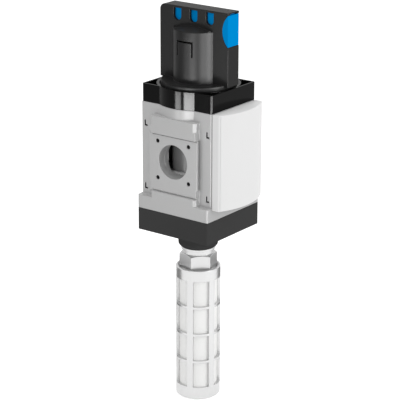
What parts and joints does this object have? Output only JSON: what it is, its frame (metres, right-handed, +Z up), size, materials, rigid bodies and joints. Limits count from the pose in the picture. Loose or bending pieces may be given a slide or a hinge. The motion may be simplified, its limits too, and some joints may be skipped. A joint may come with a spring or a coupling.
{
  "type": "pneumatic switch-on valve",
  "caption": "Square in-line air valve with side ports, white curved cover, black rotary knob with blue padlock slider, and a long slotted silencer below.",
  "frame": {"origin": "centre of the inlet port on its sealing face", "axes": "+X with the flow, from the inlet port to the outlet port; +Z up, from the silencer to the knob; the white front cover faces -Y"},
  "size_m": [0.062, 0.0743, 0.2913],
  "materials": {
    "die_cast_body": "fine blasted die casting, satin",
    "white_plastic": "smooth moulded, silk",
    "black_plastic": "moulded, half gloss",
    "knob_plastic": "finely textured moulding",
    "blue_plastic": "smooth moulded, silk",
    "grey_plastic": "fine textured, dull",
    "inner_plastic": "natural",
    "steel": "zinc plated",
    "brass": "turned",
    "rubber": "matt",
    "silencer_metal": "bright die casting, satin",
    "porous_liner": "sintered, porous"
  },
  "bodies": {
    "housing": {"valve_body": "die_cast_body", "front_cover": "white_plastic", "top_cover": "black_plastic", "top_cover_screws": "steel", "exhaust_base": "grey_plastic", "base_screws": "steel", "base_seal": "rubber", "seat_ring": "brass", "seat_ring_seal": "rubber", "guide_bush": "inner_plastic", "guide_bush_seal": "rubber", "thrust_washer": "inner_plastic", "return_spring": "steel", "silencer_washer": "silencer_metal", "silencer_fitting": "silencer_metal", "silencer_sleeve": "silencer_metal", "silencer_liner": "porous_liner", "silencer_end_plug": "silencer_metal"},
    "rotary_knob": {"knob": "knob_plastic", "spindle": "inner_plastic", "spindle_seal": "rubber"},
    "padlock_slider": {"lock_slider": "blue_plastic"},
    "stem_assembly": {"valve_stem": "brass", "cross_pin": "steel", "inlet_disc": "steel", "inlet_seal": "rubber", "stem_circlip": "steel", "exhaust_disc": "steel", "exhaust_seal": "rubber", "stem_nut": "steel"}
  },
  "joints": [
    {"name": "knob_turn", "type": "hinge", "parent": "housing", "child": "rotary_knob", "pos_m": [0.03, 0, 0.05], "axis": [0, 0, 1], "range_deg": [0, 90]},
    {"name": "lock_slide", "type": "slide", "parent": "rotary_knob", "child": "padlock_slider", "axis": [0, -1, 0], "range_m": [0, 0.007]},
    {"name": "stem_lift", "type": "slide", "parent": "housing", "child": "stem_assembly", "axis": [0, 0, 1], "range_m": [0, 0.008], "deforming": ["return_spring"]}
  ],
  "couplings": [
    {"joint": "stem_lift", "follows": "knob_turn", "m_per_rad": 0.005093}
  ]
}
